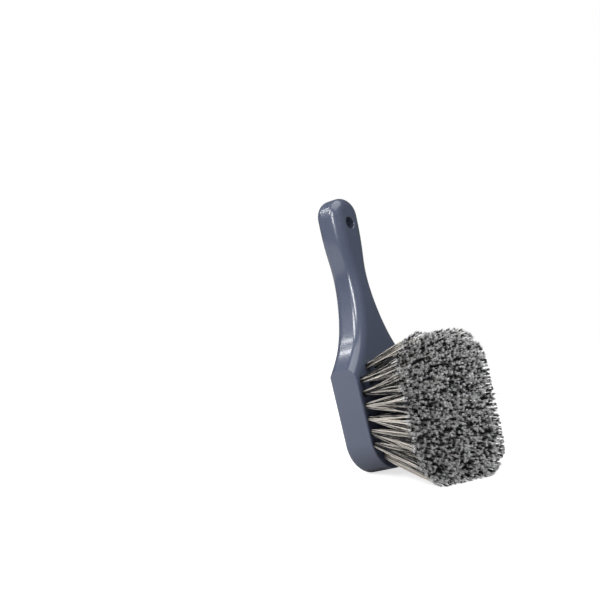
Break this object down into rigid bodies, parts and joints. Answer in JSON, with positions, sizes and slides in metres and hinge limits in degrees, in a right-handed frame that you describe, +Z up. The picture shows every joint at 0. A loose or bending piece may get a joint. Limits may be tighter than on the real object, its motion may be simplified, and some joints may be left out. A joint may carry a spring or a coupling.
{
  "type": "wheel brush",
  "caption": "Short-handled car wash brush: one-piece moulded handle and head with a hang hole, and soft flagged bristle tufts that fan out from the head.",
  "frame": {"origin": "on the floor under the middle of the overall box, midway between the handle's end and the farthest bristle tips, in the brush's middle plane", "axes": "+Z up with the brush standing on the end of its head and the tips of its lowest tufts, handle up; +X the way the bristles point along the floor; +Y across the brush's width"},
  "size_m": [0.1389, 0.118, 0.2109],
  "materials": {
    "moulding": "gloss",
    "bristle": "matte",
    "anchor_wire": "satin"
  },
  "bodies": {
    "root": {"handle_block": "moulding", "tuft_anchors": "anchor_wire", "tuft_row_1_column_2": "bristle", "tuft_row_1_column_3": "bristle", "tuft_row_1_column_4": "bristle", "tuft_row_1_column_5": "bristle", "tuft_row_1_column_6": "bristle", "tuft_row_2_column_1": "bristle", "tuft_row_2_column_2": "bristle", "tuft_row_2_column_3": "bristle", "tuft_row_2_column_4": "bristle", "tuft_row_2_column_5": "bristle", "tuft_row_2_column_6": "bristle", "tuft_row_2_column_7": "bristle", "tuft_row_3_column_1": "bristle", "tuft_row_3_column_2": "bristle", "tuft_row_3_column_3": "bristle", "tuft_row_3_column_4": "bristle", "tuft_row_3_column_5": "bristle", "tuft_row_3_column_6": "bristle", "tuft_row_3_column_7": "bristle", "tuft_row_4_column_1": "bristle", "tuft_row_4_column_2": "bristle", "tuft_row_4_column_3": "bristle", "tuft_row_4_column_4": "bristle", "tuft_row_4_column_5": "bristle", "tuft_row_4_column_6": "bristle", "tuft_row_4_column_7": "bristle", "tuft_row_5_column_1": "bristle", "tuft_row_5_column_2": "bristle", "tuft_row_5_column_3": "bristle", "tuft_row_5_column_4": "bristle", "tuft_row_5_column_5": "bristle", "tuft_row_5_column_6": "bristle", "tuft_row_5_column_7": "bristle", "tuft_row_6_column_1": "bristle", "tuft_row_6_column_2": "bristle", "tuft_row_6_column_3": "bristle", "tuft_row_6_column_4": "bristle", "tuft_row_6_column_5": "bristle", "tuft_row_6_column_6": "bristle", "tuft_row_6_column_7": "bristle", "tuft_row_7_column_1": "bristle", "tuft_row_7_column_2": "bristle", "tuft_row_7_column_3": "bristle", "tuft_row_7_column_4": "bristle", "tuft_row_7_column_5": "bristle", "tuft_row_7_column_6": "bristle", "tuft_row_7_column_7": "bristle", "tuft_row_8_column_2": "bristle", "tuft_row_8_column_3": "bristle", "tuft_row_8_column_4": "bristle", "tuft_row_8_column_5": "bristle", "tuft_row_8_column_6": "bristle"}
  },
  "joints": []
}
